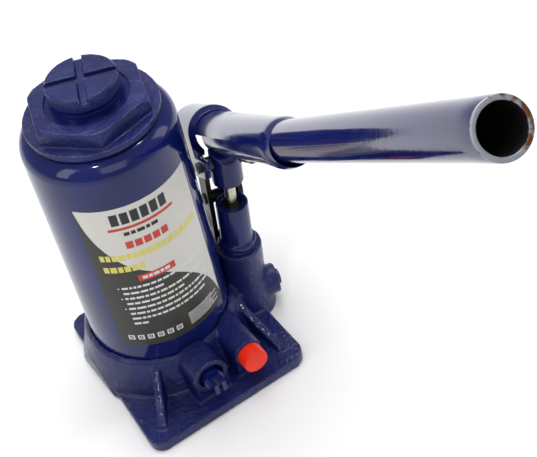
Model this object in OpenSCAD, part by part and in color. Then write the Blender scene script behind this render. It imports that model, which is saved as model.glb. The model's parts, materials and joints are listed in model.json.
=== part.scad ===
// Hydraulic bottle jack: cast base, reservoir, ram with extension screw, side pump, lever socket and handle.
// Frame: origin on the ground under the ram axis, +Z up, -Y towards the release valve, +X towards the pump.
// The pump, link and lever are drawn in a frame of their own that leans outward and turns to the front.

/* [Tank] */
// Outside diameter of the reservoir tank
tank_d = 90; // [85:1:98]
// Wall thickness of the reservoir tank
tank_wall = 3; // [2:0.5:4]
// Height of the tank's top plane above the ground
tank_top = 190; // [180:1:230]
// Radius of the rounded tank shoulder
shoulder_r = 12; // [8:1:14]

/* [Base] */
// How far the base stands out past the tank on the left
margin_left = 8.6; // [7:0.2:12]
// How far the base stands out past the tank on the right
margin_right = 14; // [11:1:18]
// How far the base stands out past the tank at the front
margin_front = 33; // [31:1:38]
// How far the base stands out past the tank at the back
margin_back = 5; // [4:1:10]
// Thickness of the base plate
plate_h = 7.2; // [6:0.2:10]
// Height of the seat round the tank
boss_h = 30; // [28:1:34]
// Depth of the hollow under the base plate
underside_h = 2; // [1:0.5:3]

/* [Cylinder and ram] */
// Outside diameter of the ram
ram_d = 42; // [38:1:44]
// Gap between the ram and the bore of the inner cylinder
ram_slack = 2; // [1.5:0.5:3]
// Wall thickness of the inner cylinder
cyl_wall = 4; // [3:0.5:5]
// Height of the ram above the top plane of the tank when it is down
ram_stand = 18; // [16:1:24]
// Length of the piston land at the foot of the ram
piston_h = 12; // [10:1:16]

/* [Extension screw] */
// Diameter of the extension screw
screw_d = 28; // [24:1:30]
// Diameter of the saddle head
saddle_d = 41; // [36:0.5:42]
// Thickness of the saddle head
saddle_h = 8.5; // [7:0.5:11]
// Length of the screw below its head
screw_len = 88; // [70:1:100]
// Width of the crossing slots in the saddle
slot_w = 4.5; // [3:0.5:6]
// Depth of the crossing slots in the saddle
slot_deep = 3; // [2:0.5:4]

/* [Top nut] */
// How far the flange's edge stays inside the side of the tank
flange_in = 6.1; // [4:0.1:8]
// Thickness of the round flange
flange_h = 4.5; // [3.5:0.5:7]
// How far the flats of the hexagon stay inside the flange's edge
hex_in = 7.4; // [6:0.1:9]
// Height of the hexagon above the flange
hex_h = 9.5; // [8:0.5:13]
// Length of the nut's skirt inside the tank
skirt_h = 22; // [18:1:26]

/* [Pump] */
// How far the inner face of the link stands outside the side of the tank, at the pump's foot
link_off = 0.2; // [0:0.2:4]
// Distance of the pump's foot in front of the ram axis
pump_y = 11; // [8:1:18]
// Outward lean of the pump
pump_lean = 4.8; // [4:0.2:7]
// Turn of the pump and lever towards the front of the tank
pump_turn = 11; // [6:1:16]
// Radius of the pump tower
tower_r = 15; // [14:0.5:16]
// Height of the pump tower along its axis
tower_h = 55; // [52:1:60]
// Outside diameter of the pump cylinder
pump_d = 20; // [19:0.5:22]
// Height of the pump cylinder's rim along its axis
pump_rim = 90; // [86:1:92]
// Diameter of the plunger rod
rod_d = 7; // [6:0.5:8]
// Bore of the pump cylinder
pump_bore = 10; // [9:0.5:11]

/* [Lever] */
// Rest angle of the handle above the pump's cross plane
lever_rest = 37.5; // [30:0.5:40]
// Height of the plunger pin along the pump axis
pin_h = 124; // [122:1:130]
// Distance between the plunger pin and the fulcrum pin
pin_gap = 25; // [24:0.5:26]
// Diameter of the plunger pin and the fulcrum pin
pin_d = 7; // [6:0.5:8]
// Height of the lower link pin along the pump axis
link_low_h = 45; // [43:1:47]
// Distance of the lower link pin behind the pump axis
link_low_back = 16; // [15:0.5:18]
// Oversize of the link's upper hole, on the radius, that lets the lever swing
link_play = 0.85; // [0.8:0.05:1]
// Height of the handle axis above the plunger pin, square to the handle
handle_rise = 8.8; // [8:0.1:10]
// Outside diameter of the handle tube
handle_d = 21; // [19:0.5:22]
// Wall thickness of the handle tube
handle_wall = 2; // [1.5:0.5:2.5]
// Distance from the pump axis to the open end of the handle
handle_reach = 393; // [300:1:480]
// Wall of the socket tube round the handle
socket_wall = 2; // [1.5:0.5:2.5]
// Distance from the pump axis to the open end of the socket
socket_reach = 153; // [130:1:170]
// Angle between the socket tube and the handle in it
socket_tilt = 3.5; // [0:0.5:4]
// Distance from the pump axis to the inner end of the handle
handle_in = 106; // [100:1:112]
// Plate thickness of the socket yoke
yoke_t = 3.5; // [3:0.5:4]

/* [Valves] */
// Position of the release valve along X
release_x = -3; // [-8:1:0]
// Height of the release valve axis
release_z = 24; // [22:1:26]
// Distance from the side of the tank to the face of the release housing
release_out = 22; // [20:1:24]
// Position of the safety valve along X
safety_x = 24; // [22:1:26]
// Height of the safety valve axis
safety_z = 25; // [23:1:27]
// Distance from the side of the tank to the face of the safety valve boss
safety_out = 22.5; // [20:0.5:24]
// Half angle of the label round the tank
label_half = 47.4; // [30:0.2:60]
// Diameter of the safety valve cap
cap_d = 16; // [14:0.5:17]
// Length of the safety valve cap
cap_h = 9.5; // [7:0.5:11]
// Radius of the check balls
ball_r = 3.2; // [2.5:0.1:3.5]

/* [Fits] */
// Radial clearance of the running fits
run = 0.05; // [0.02:0.01:0.08]
// Gap between moving faces that never touch
gap = 0.5; // [0.4:0.1:1]

/* [Hidden] */
$fn = 96;
e = 0.01;
cut = 1;                        // how far a cutter runs past the face that it cuts
// tank and base
tank_r = tank_d / 2;
tank_in = tank_r - tank_wall;
base_left = tank_r + margin_left;
base_right = tank_r + margin_right;
base_front = tank_r + margin_front;
base_back = tank_r + margin_back;
seat_z = boss_h - 3;
floor_z = boss_h - 4;
gasket_h = 1;
seat_fit = 0.2;
boss_foot = 12;
boss_rim = 3.5;
boss_lip = 1.2;
boss_lip_h = 2.4;
boss_top = boss_h + boss_lip_h;
corner_r = 9;
back_corner = 14;
right_corner = 24;
left_corner = 6;
under_rim = 7;
pad_r = 30;
flat = 0.4;
rib_t = 5;
foot_in = 0.6;
web_in = 1.6;
rib_corner = 3;
rib_low = 2;
rib_side = 0.6;
rib_fore = 0.9;
drill_r = 1.5;
filler_z = tank_top - 45;
filler_r = 5;
filler_head = 7.5;
filler_head_h = 2.2;
label_z = 45.5;
label_low = 30.5;
label_h = tank_top - label_z - label_low;
label_t = 0.15;
label_mid = -96.8;
// cylinder, ram and nut
ram_r = ram_d / 2;
bore_r = ram_r + ram_slack;
cyl_out = bore_r + cyl_wall;
flange_d = tank_d - 2 * flange_in;
hex_flats = flange_d - 2 * hex_in;
filter_room = 3;
filter_wall = 1.2;
filter_h = 3;
filter_at = (cyl_out + tank_in) / 2;
filter_x = sqrt(filter_at * filter_at - pump_y * pump_y);
filter_r = (tank_in - cyl_out) / 2 - filter_room;
cyl_top = tank_top - 14;
skirt_wall = 3.6;
skirt_r = cyl_out + skirt_wall;
mouth_land = 2.4;
shoulder = min(shoulder_r, tank_r - skirt_r - mouth_land);
ring_groove = 0.6;
nut_chamfer = 2.5;
bush_h = 15;
seal_h = 6;
wiper_low = 1.2;
ram_top = tank_top + ram_stand;
ram_foot = floor_z + 12;
spigot_r = 11;
cup_h = 7;
retainer_h = 2;
retainer_r = 18;
retainer_screw_r = 3;
retainer_head_r = 6;
retainer_head_h = 2.5;
nut_top = tank_top + flange_h + hex_h;
flange_round = 1.5;
screw_r = screw_d / 2;
head_z = ram_top + gap;
saddle_top = head_z + saddle_h;
saddle_edge = 1;
stop_room = 1.95;
stop_r = screw_r + stop_room;
stop_h = 5;
groove_deep = 2;
collar_h = 2;
thread_len = 18;
screw_foot = head_z - screw_len;
hex_r = hex_flats / 2 / cos(30);
hex_turn = 13;
slot_turn = 22.5;
bush_in = ram_r + run;
bush_out = bore_r + 1;
// pump
pump_r = pump_d / 2;
pump_seat = pump_r - 1;
rod_r = rod_d / 2;
pump_bore_r = pump_bore / 2;
pump_foot = 24;
gland_deep = 8;
gland_wall = 1.5;
washer_h = 1.5;
collar_step = 3;
collar_out = max(pump_r, tower_r - collar_step);
pump_collar_h = 3.5;
plunger_foot = 40;
land_h = 3;
seal_len = 5;
head_room = 3;
socket_r = handle_d / 2 + socket_wall;
yoke_in = socket_r;
head_r = yoke_in - head_room;
head_top = 9.5;
head_drop = 15.5;
ear_y = -3;
ear_z = 17;
ear_r = 10;
ear_x = 21;
ear_bore = 5;
ear_deep = 13;
plug_in = 17;
plug_out = 23;
tower_flare = 5;
// lever
pin_r = pin_d / 2;
handle_r = handle_d / 2;
handle_axis_h = pin_h + handle_rise / cos(lever_rest);
pin_t = -handle_rise * tan(lever_rest);
link_t = 3;
link_room = 1.1;
link_in = yoke_in - link_room - link_t;
lug_room = 0.8;
pump_x = tank_r + link_in + link_off;
link_low_r = 3;
link_foot_r = 7;
link_head_r = 8;
lug_half = link_in - lug_room;
lug_r = 8;
spacer_up = 6;
spacer_r = 2.5;
fulcrum_y = pin_gap * cos(lever_rest);
fulcrum_z = pin_h - pin_gap * sin(lever_rest);
hole_dy = 0.08;
hole_dz = -0.05;
yoke_out = yoke_in + yoke_t;
yoke_back = -62;
cheek_back = -42;
cheek_foot = -10;
yoke_front = -11;
yoke_deep = 24;
rim_len = 8;
hoop_len = 5;
rim_step = 0.4;
socket_pivot = 130;
socket_back = -14;
socket_bore = handle_r - 0.5;
socket_open = 9;
pin_proud = 1.8;
clip_t = 0.8;
clip_r = 1.8;
clip_groove = 0.6;
// valves
release_face = tank_r + release_out;
safety_face = tank_r + safety_out;
safety_r = 9.5;
safety_deep = 19.5;
safety_seat = safety_face - safety_deep;
safety_bore = 4.5;
release_r = 12;
release_deep = 23;
release_seat = release_face - release_deep;
release_bore = 4.5;
shroud_r = 8;
shroud_deep = 6;
key_half = 4;
key_len = 11;
key_slot = 2.4;
key_slot_deep = 5;
oring_step = 10;
oring_at = release_seat + oring_step;
oring_h = 2.2;
oring_in = 3.2;
release_low = 15.2;
release_step = 8.8;
release_back = release_seat - release_step;
ball_run = 0.08;
ball_lift = 1;
ball_seat = 12;
sump_z = ball_seat - 5;
stop_in = 1.6;
stop_t = 2;
delivery_x = 12;
delivery_y = 4;
delivery_low = 6;
suction_low = 9;

// ---------- placements ----------
module lever() translate([pump_x, -pump_y, 0]) rotate([0, pump_lean, -pump_turn]) children();
module along() lever() translate([0, 0, handle_axis_h]) rotate([90 - lever_rest, 0, 0]) children();
module socket() along() translate([0, 0, socket_pivot]) rotate([socket_tilt, 0, 0])
  translate([0, 0, -socket_pivot]) children();
module across(y, z) translate([0, y, z]) rotate([0, 90, 0]) children();
module forward(x, y, z) translate([x, y, z]) rotate([90, 0, 0]) children();
module tube(ro, ri, h) difference() {
  cylinder(r = ro, h = h);
  translate([0, 0, -cut]) cylinder(r = ri, h = h + 2 * cut);
}
module disc(r, z0, z1) translate([0, 0, z0]) cylinder(r = r, h = z1 - z0);
module cone(r0, r1, z0, z1) translate([0, 0, z0]) cylinder(r1 = r0, r2 = r1, h = z1 - z0);
module band(z, h, r) translate([0, z]) square([r, h]);
module long_hole(r) translate([0, 0, -base_right]) cylinder(r = r, h = 2 * base_right);
module mid_bar(half) translate([0, 0, -half]) cylinder(r = pin_r, h = 2 * half);

// ---------- base ----------
module plate_outline() {
  hull() {
    translate([-base_left + corner_r, -base_front + corner_r]) circle(r = corner_r);
    translate([base_right - corner_r - rib_low - 1, -base_front + corner_r + rib_low])
      circle(r = corner_r + rib_low);
    translate([base_right - corner_r, base_back - corner_r - back_corner]) circle(r = corner_r);
    translate([base_right - corner_r - right_corner, base_back - corner_r]) circle(r = corner_r);
    translate([-base_left + corner_r + left_corner, base_back - corner_r]) circle(r = corner_r);
  }
}
// a web that runs from the point (x0, y0) at height z0 to (x1, y1) at height z1
module rib(x0, y0, z0, x1, y1, z1) {
  len = norm([x1 - x0, y1 - y0]);
  translate([x0, y0, 0]) rotate([0, 0, atan2(y1 - y0, x1 - x0)]) translate([0, rib_t / 2, 0]) rotate([90, 0, 0])
    linear_extrude(rib_t) polygon([[0, plate_h - 1], [0, z0], [len, z1], [len, plate_h - 1]]);
}
// a round housing for a valve that lies along Y, with a foot under it
module housing(x, z, r, face, foot_face) {
  half = r - foot_in;
  forward(x, -tank_r + release_r, z) cylinder(r = r, h = face - tank_r + release_r);
  translate([x - half, -foot_face, 1]) cube([2 * half, foot_face - tank_in, z - 1]);
}
module ear() translate([0, ear_y, ear_z]) rotate([0, 90, 0]) children();
module base_solid() {
  linear_extrude(plate_h) plate_outline();
  // seat round the tank, flush with the left edge of the plate
  intersection() {
    rotate_extrude() polygon([[0, 1], [tank_r + boss_foot, 1], [tank_r + boss_rim, boss_h],
      [tank_r + boss_lip, boss_top], [0, boss_top]]);
    translate([-base_left + flat, -base_front, 0])
      cube([2 * base_front, base_front + base_back - flat, 2 * boss_h]);
  }
  housing(release_x, release_z, release_r, release_face, release_face - foot_in);
  housing(safety_x, safety_z, safety_r, safety_face, safety_face - rib_low);
  rib(-rib_side * tank_r, -rib_fore * tank_r, boss_h - rib_low, -base_left + corner_r + rib_low,
    -base_front + corner_r + cut, plate_h + rib_low);
  rib(pump_x - tower_r + web_in, -pump_y - tower_r + rib_low, tower_h / 2, base_right - corner_r - rib_corner,
    -base_front + corner_r + rib_corner, plate_h + rib_low);
  // web between the tower and the tank seat
  hull() {
    lever() disc(tower_r - web_in, ball_seat - 4, pump_foot + 1);
    translate([tank_r - release_r, -pump_y - 1, 4]) cylinder(r = tower_r - 2, h = boss_h - 10);
  }
  // pump tower with a flared foot, the ear for the suction valve and the lug for the link
  lever() {
    cylinder(r = tower_r, h = tower_h);
    cone(tower_r + tower_flare, tower_r - 1, 0, tower_h / 2 + tower_flare);
    ear() cylinder(r = ear_r, h = ear_x);
    hull() {
      across(link_low_back, link_low_h) translate([0, 0, -lug_half]) cylinder(r = lug_r, h = 2 * lug_half);
      translate([-lug_half, 4, ball_seat + 4]) cube([2 * lug_half, link_low_back - 4, pump_foot]);
    }
  }
}
module base_casting() color([0.12, 0.16, 0.4]) difference() {
  base_solid();
  // nothing of the leaning tower stands below the ground
  translate([-base_front, -base_front, -base_front]) cube([3 * base_front, 3 * base_front, base_front]);
  // hollow underside with a rim and a middle pad
  translate([0, 0, -cut]) linear_extrude(underside_h + cut) difference() {
    offset(delta = -under_rim) plate_outline();
    circle(r = pad_r);
  }
  // groove for the tank, seat for the inner cylinder
  translate([0, 0, seat_z]) tube(tank_r + seat_fit, tank_in - seat_fit, boss_h);
  disc(cyl_out + run, floor_z - 2, 2 * boss_h);
  disc(tank_in - seat_fit / 2, boss_h + 2, 2 * boss_h);
  // pump bore, chamber, suction valve and the flats beside the lug where the link plates swing
  lever() {
    disc(pump_seat, pump_foot, tower_h + tower_r);
    disc(ball_r + ball_run, ball_seat, pump_foot + cut);
    disc(drill_r, sump_z, ball_seat + cut);
    ear() { disc(ear_bore, ear_deep, ear_x + cut); disc(drill_r, ear_bore, ear_deep + cut); }
    across(link_low_back, link_low_h) long_hole(link_low_r);
    for (k = [0, 1]) mirror([k, 0, 0])
      translate([lug_half + 0.2, link_low_back - link_foot_r - gap, link_low_h - link_foot_r - gap])
        cube([tower_r + tower_flare, tower_r + tower_flare, tower_h]);
  }
  // release valve bore with its open shroud, safety valve bore
  release_place() {
    disc(release_bore, release_seat, release_face + cut);
    disc(drill_r, release_back - cut, release_seat + cut);
    disc(shroud_r, release_face - shroud_deep, release_face + cut);
  }
  safety_place() {
    disc(safety_bore, safety_seat, safety_face + cut);
    disc(drill_r - 0.3, safety_seat - 10, safety_seat + cut);
  }
  // delivery valve pocket under the ram and its drilling from the pump
  delivery_place() {
    disc(ball_r + ball_run, ball_seat, floor_z);
    disc(drill_r, delivery_low - 1, ball_seat + cut);
  }
  translate([delivery_x, -delivery_y, delivery_low]) rotate([0, 90, 0])
    cylinder(r = drill_r, h = pump_x - delivery_x);
  translate([pump_x, -delivery_y, delivery_low - 1]) cylinder(r = drill_r, h = pump_foot - 3);
  // suction drilling from the filter to the pump
  translate([filter_x, -pump_y, suction_low]) rotate([0, 90, 0])
    cylinder(r = drill_r, h = pump_x - filter_x + cut);
  translate([filter_x, -pump_y, suction_low - 1]) cylinder(r = drill_r, h = boss_h);
  // release drilling from the ram to the valve
  translate([release_x, 0, 0]) {
    disc(drill_r, ball_seat + 2, floor_z);
    forward(0, 1, release_low) cylinder(r = drill_r, h = release_back + 1.8);
    translate([0, -release_back, release_low - 1.2]) cylinder(r = drill_r, h = release_z - release_low + 1.2);
  }
}
module tank_gasket() color([0.1, 0.1, 0.1]) translate([0, 0, seat_z]) tube(tank_r, tank_in, gasket_h);
module cylinder_gasket() color([0.7, 0.4, 0.2]) translate([0, 0, floor_z - 2])
  tube(cyl_out, bore_r - 2, gasket_h);

// ---------- reservoir ----------
module filler_place() translate([0, 0, filler_z]) rotate([-90, 0, 0]) children();
module reservoir_tank() color([0.12, 0.16, 0.4]) difference() {
  rotate_extrude() {
    translate([tank_in, seat_z + gasket_h]) square([tank_wall, tank_top - shoulder - seat_z - gasket_h]);
    translate([tank_r - shoulder, tank_top - shoulder]) intersection() {
      difference() { circle(r = shoulder); circle(r = shoulder - tank_wall); }
      square(shoulder + cut);
    }
    translate([skirt_r + flat, tank_top - tank_wall]) square([tank_r - shoulder - skirt_r, tank_wall]);
  }
  filler_place() cylinder(r = filler_r, h = tank_d);
}
module filler_plug() color([0.1, 0.1, 0.1]) filler_place() {
  disc(filler_r, tank_in - 1, tank_r + flat);
  disc(filler_head, tank_r + flat - run, tank_r + flat + filler_head_h);
  cone(filler_r - 1, filler_r, tank_in - 3, tank_in - 1 + e);
}
module label() color([0.75, 0.73, 0.68]) rotate([0, 0, label_mid - label_half])
  rotate_extrude(angle = 2 * label_half) translate([tank_r, label_z]) square([label_t, label_h]);
module oil_filter() color([0.7, 0.6, 0.3]) translate([filter_x, -pump_y, boss_h + rib_low])
  tube(filter_r, filter_r - filter_wall, filter_h);

// ---------- inner cylinder and top nut ----------
module inner_cylinder() color([0.6, 0.6, 0.62]) translate([0, 0, floor_z - 2 + gasket_h])
  tube(cyl_out, bore_r, cyl_top - floor_z + 2 - gasket_h);
module hexagon() rotate([0, 0, hex_turn]) translate([0, 0, tank_top + e])
  cylinder(r = hex_r, h = flange_h + hex_h - e, $fn = 6);
module top_nut() color([0.12, 0.16, 0.4]) difference() {
  union() {
    rotate_extrude() {
      band(tank_top, flange_h, flange_d / 2 - flange_round);
      translate([flange_d / 2 - flange_round, tank_top + flange_round]) circle(r = flange_round);
      band(tank_top + flange_round, flange_h - flange_round, flange_d / 2 - 0.02);
    }
    intersection() {
      hexagon();
      cone(hex_r + nut_top - tank_top - nut_chamfer, hex_r - nut_chamfer, tank_top, nut_top);
    }
    disc(skirt_r, tank_top - skirt_h, tank_top + cut);
  }
  disc(cyl_out + run, tank_top - skirt_h - cut, cyl_top);
  disc(bush_out, cyl_top - cut, nut_top + cut);
  translate([0, 0, tank_top - cut]) tube(skirt_r + 1.8, skirt_r + seat_fit, cut + ring_groove);
}
module nut_seal_ring() color([0.1, 0.1, 0.1]) translate([0, 0, tank_top])
  tube(skirt_r + 1.7, skirt_r + 0.3, ring_groove);
module guide_bush() color([0.75, 0.6, 0.3]) translate([0, 0, cyl_top]) tube(bush_out, bush_in, bush_h);
module ram_seal() color([0.1, 0.1, 0.1]) translate([0, 0, cyl_top + bush_h]) tube(bush_out, bush_in, seal_h);
module ram_wiper() color([0.08, 0.08, 0.1]) translate([0, 0, cyl_top + bush_h + seal_h])
  tube(bush_out, bush_in, nut_top - cyl_top - bush_h - seal_h - wiper_low);

// ---------- ram and extension screw ----------
module ram() color([0.14, 0.18, 0.42]) difference() {
  union() {
    disc(ram_r, ram_foot + piston_h - e, ram_top);
    disc(bore_r - run, ram_foot, ram_foot + piston_h);
    disc(spigot_r, ram_foot - cup_h, ram_foot + cut);
  }
  disc(screw_r + run, ram_top - thread_len - cut, ram_top + cut);
  disc(stop_r + run, screw_foot - 6, ram_top - thread_len);
  disc(retainer_screw_r, ram_foot - cup_h - cut, ram_foot + cup_h + cut);
}
module ram_cup_seal() color([0.1, 0.1, 0.1]) translate([0, 0, ram_foot - cup_h])
  tube(bore_r - run, spigot_r, cup_h);
module ram_retainer() color([0.6, 0.6, 0.62]) translate([0, 0, ram_foot - cup_h - retainer_h])
  tube(retainer_r, retainer_screw_r, retainer_h);
module ram_retainer_screw() color([0.3, 0.3, 0.32]) translate([0, 0, ram_foot - cup_h - retainer_h]) {
  disc(retainer_head_r, -retainer_head_h, 0);
  disc(retainer_screw_r, -e, retainer_h + 2 * cup_h);
}
module screw_stop_ring() color([0.5, 0.5, 0.52]) translate([0, 0, screw_foot + collar_h])
  tube(stop_r, screw_r - groove_deep + run, stop_h);
module extension_screw() color([0.14, 0.18, 0.42]) difference() {
  union() {
    disc(screw_r, screw_foot + collar_h + stop_h + 2 * run, head_z + e);
    disc(screw_r - groove_deep, screw_foot, head_z);
    disc(screw_r, screw_foot, screw_foot + collar_h - 2 * run);
    disc(saddle_d / 2, head_z, saddle_top - saddle_edge);
    cone(saddle_d / 2, saddle_d / 2 - saddle_edge, saddle_top - saddle_edge, saddle_top);
  }
  for (k = [0, 90]) rotate([0, 0, k - slot_turn])
    translate([-saddle_d, -slot_w / 2, saddle_top - slot_deep]) cube([2 * saddle_d, slot_w, slot_deep + cut]);
}

// ---------- pump ----------
module pump_cylinder() color([0.12, 0.16, 0.4]) lever() difference() {
  union() {
    disc(pump_seat, pump_foot + 4, tower_h + washer_h + cut);
    disc(pump_r, tower_h + washer_h, pump_rim);
    disc(collar_out, tower_h + washer_h, tower_h + washer_h + pump_collar_h);
  }
  disc(pump_bore_r, pump_foot, pump_rim - gland_deep);
  disc(pump_bore_r + gland_wall, pump_rim - gland_deep, pump_rim + cut);
}
module pump_washer() color([0.7, 0.4, 0.2]) lever() translate([0, 0, tower_h])
  tube(collar_out, pump_seat + run, washer_h);
module pump_gland() color([0.6, 0.6, 0.62]) lever() translate([0, 0, pump_rim - gland_deep])
  tube(pump_bore_r + gland_wall, rod_r + run, gland_deep - cut);
module pump_plunger() color([0.55, 0.53, 0.4]) lever() difference() {
  union() {
    disc(rod_r, plunger_foot, pin_h - head_drop + cut);
    disc(pump_bore_r - run, plunger_foot + land_h + seal_len, plunger_foot + 2 * land_h + seal_len);
    disc(pump_bore_r - run, plunger_foot, plunger_foot + land_h);
    // round head with a crown that follows the pin
    intersection() {
      disc(head_r, pin_h - head_drop, pin_h + head_top);
      union() {
        across(0, pin_h) translate([0, 0, -head_r]) cylinder(r = head_top, h = 2 * head_r);
        translate([-head_r, -head_top, pin_h - 2 * head_drop]) cube([2 * head_r, 2 * head_top, 2 * head_drop]);
      }
    }
  }
  across(0, pin_h) translate([0, 0, -2 * head_r]) cylinder(r = pin_r + run, h = 4 * head_r);
}
module plunger_seal() color([0.1, 0.1, 0.1]) lever() translate([0, 0, plunger_foot + land_h])
  tube(pump_bore_r - run, rod_r, seal_len);

// ---------- lever ----------
// a place on the axis of the pin that is back mm behind the plunger pin, along the handle
module pin_place(back) along() translate([0, -handle_rise, pin_t - back]) rotate([0, 90, 0]) children();
module yoke_section(r) {
  circle(r = r);
  translate([-r, -2 * yoke_deep]) square([2 * r, 2 * yoke_deep]);
}
module socket_yoke() color([0.12, 0.16, 0.4]) difference() {
  socket() {
    intersection() {
      translate([0, 0, yoke_back]) linear_extrude(socket_open + tower_r - yoke_back) difference() {
        yoke_section(yoke_out);
        yoke_section(yoke_in);
      }
      // side profile: the hoop behind the rim and the cheeks that run down to the pins
      rotate([90, 0, 90]) translate([0, 0, -yoke_deep]) linear_extrude(2 * yoke_deep)
        polygon([[yoke_out + cut, yoke_back], [yoke_out + cut, yoke_front], [-yoke_in + 1, yoke_front],
          [-yoke_in - 1, socket_open], [-yoke_deep + 6, socket_open], [-yoke_deep, 2],
          [-yoke_deep, cheek_back + 6], [-yoke_deep + 6, cheek_back], [cheek_foot, cheek_back - 4],
          [cheek_foot, yoke_back]]);
    }
    // sloping front rim of the hoop, down to the tube
    difference() {
      cone(yoke_out, yoke_in + rim_step, yoke_front - cut / 2, yoke_front + hoop_len);
      disc(yoke_in, yoke_front - cut, yoke_front + hoop_len + cut);
      translate([-head_r - gap, -2 * yoke_deep, yoke_front - cut])
        cube([2 * (head_r + gap), 2 * yoke_deep, hoop_len + 2 * cut]);
    }
  }
  for (k = [0, 1]) pin_place(k * pin_gap) long_hole(pin_r);
}
module socket_tube() color([0.12, 0.16, 0.4]) difference() {
  socket() difference() {
    union() {
      disc(socket_r, socket_back, socket_reach - rim_len + 1);
      disc(socket_r + rim_step, socket_reach - 2 * rim_len, socket_reach - rim_len);
      cone(socket_r + rim_step, handle_r + cut, socket_reach - rim_len, socket_reach);
    }
    disc(socket_bore, socket_back - cut, handle_in + cut);
    // open underneath where the head of the plunger swings
    translate([-yoke_deep, -yoke_deep, socket_back - cut])
      cube([2 * yoke_deep, yoke_deep + 2, socket_open - socket_back + cut]);
  }
  along() disc(handle_r + run, handle_in - gap, socket_reach + rim_len);
}
module plunger_pin() color([0.25, 0.25, 0.27]) pin_place(0) difference() {
  mid_bar(yoke_out + pin_proud);
  for (k = [-1, 1]) translate([0, 0, k * (yoke_out + clip_groove) - clip_t / 2])
    tube(2 * pin_r, pin_r - clip_groove, clip_t);
}
module plunger_clip() color([0.1, 0.1, 0.1]) pin_place(0) translate([0, 0, yoke_out + clip_groove - clip_t / 2])
  tube(pin_r + clip_r, pin_r - clip_groove, clip_t);
module fulcrum_pin() color([0.25, 0.25, 0.27]) pin_place(pin_gap) mid_bar(yoke_out + pin_proud - cut);
module spacer_place()
  across((link_low_back + fulcrum_y) / 2, (link_low_h + fulcrum_z) / 2 + spacer_up) children();
module link_plate(x0) lever() translate([x0, 0, 0]) difference() {
  rotate([90, 0, 90]) linear_extrude(link_t) hull() {
    translate([link_low_back, link_low_h]) circle(r = link_foot_r);
    translate([fulcrum_y, fulcrum_z]) circle(r = link_head_r);
  }
  across(link_low_back, link_low_h) long_hole(link_low_r + run);
  across(fulcrum_y + hole_dy, fulcrum_z + hole_dz) translate([0, 0, -cut])
    cylinder(r = pin_r + link_play, h = link_t + 2 * cut);
  spacer_place() translate([0, 0, -cut]) cylinder(r = spacer_r, h = link_t + 2 * cut);
}
module link_plate_left() color([0.1, 0.1, 0.12]) link_plate(-link_in - link_t);
module link_plate_right() color([0.1, 0.1, 0.12]) link_plate(link_in);
module link_spacer() color([0.1, 0.1, 0.12]) lever() spacer_place() {
  translate([0, 0, -link_in - link_t]) cylinder(r = spacer_r, h = 2 * (link_in + link_t));
  translate([0, 0, -link_in]) cylinder(r = spacer_r + 1.5, h = 2 * link_in);
  for (k = [0, 1]) mirror([0, 0, k]) translate([0, 0, link_in + link_t]) cylinder(r = spacer_r + 1.1, h = 1.2);
}
module link_low_pin() color([0.25, 0.25, 0.27]) lever() across(link_low_back, link_low_h) {
  half = link_in + link_t + gap;
  translate([0, 0, -half]) cylinder(r = link_low_r, h = 2 * half);
  for (k = [0, 1]) mirror([0, 0, k]) translate([0, 0, half - 0.1]) cylinder(r = link_low_r + 1.4, h = 1.1);
}
module handle_tube() color([0.12, 0.16, 0.4]) along() translate([0, 0, handle_in])
  tube(handle_r, handle_r - handle_wall, handle_reach - handle_in);

// ---------- valves ----------
module ball_at() translate([0, 0, ball_seat + ball_r + e]) sphere(r = ball_r);
module ball_stop() translate([0, 0, ball_seat + 2 * ball_r + ball_lift + 2 * e])
  tube(ball_r + ball_run, stop_in, stop_t);
module suction_ball() color([0.8, 0.8, 0.82]) lever() ball_at();
module suction_stop() color([0.6, 0.6, 0.62]) lever() ball_stop();
module suction_plug() color([0.12, 0.16, 0.4]) lever() ear() difference() {
  disc(ear_bore, plug_in, plug_out);
  disc(ear_bore / 2, plug_out - 3, plug_out + cut);
}
module delivery_place() translate([delivery_x, -delivery_y, 0]) children();
module delivery_ball() color([0.8, 0.8, 0.82]) delivery_place() ball_at();
module delivery_stop() color([0.6, 0.6, 0.62]) delivery_place() ball_stop();
module safety_place() forward(safety_x, 0, safety_z) children();
module safety_cap() color([0.9, 0.2, 0.08]) safety_place() {
  disc(cap_d / 2, safety_face, safety_face + cap_h);
  disc(safety_bore - 2 * run, safety_face - 5, safety_face + cut);
}
module safety_screw() color([0.5, 0.5, 0.52]) safety_place() difference() {
  disc(safety_bore, safety_seat + 9, safety_seat + 14);
  disc(safety_bore / 2, safety_seat + 12, safety_seat + 15);
}
module safety_spring() color([0.6, 0.6, 0.62]) safety_place() translate([0, 0, safety_seat + 2 * ball_r])
  tube(ball_r - seat_fit, ball_r - 1, 9 - 2 * ball_r);
module safety_ball() color([0.8, 0.8, 0.82]) safety_place() translate([0, 0, safety_seat + ball_r])
  sphere(r = ball_r);
module release_place() forward(release_x, 0, release_z) children();
module release_ball() color([0.8, 0.8, 0.82]) release_place() translate([0, 0, release_seat + ball_r])
  sphere(r = ball_r);
module release_stem() color([0.25, 0.27, 0.35]) release_place() difference() {
  union() {
    disc(release_bore - run, release_seat + 2 * ball_r + 2 * run, release_face);
    disc(shroud_r - 1.6, release_face - shroud_deep + 1, release_face + 3);
    translate([-key_half, -key_half, release_face]) cube([2 * key_half, 2 * key_half, key_len]);
  }
  translate([-key_slot / 2, -2 * key_half, release_face + key_len - key_slot_deep])
    cube([key_slot, 4 * key_half, key_slot_deep + cut]);
  translate([0, 0, oring_at]) tube(shroud_r, oring_in, oring_h);
}
module release_oring() color([0.1, 0.1, 0.1]) release_place() translate([0, 0, oring_at + run])
  tube(release_bore - run, oring_in + run, oring_h - 2 * run);

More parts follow.
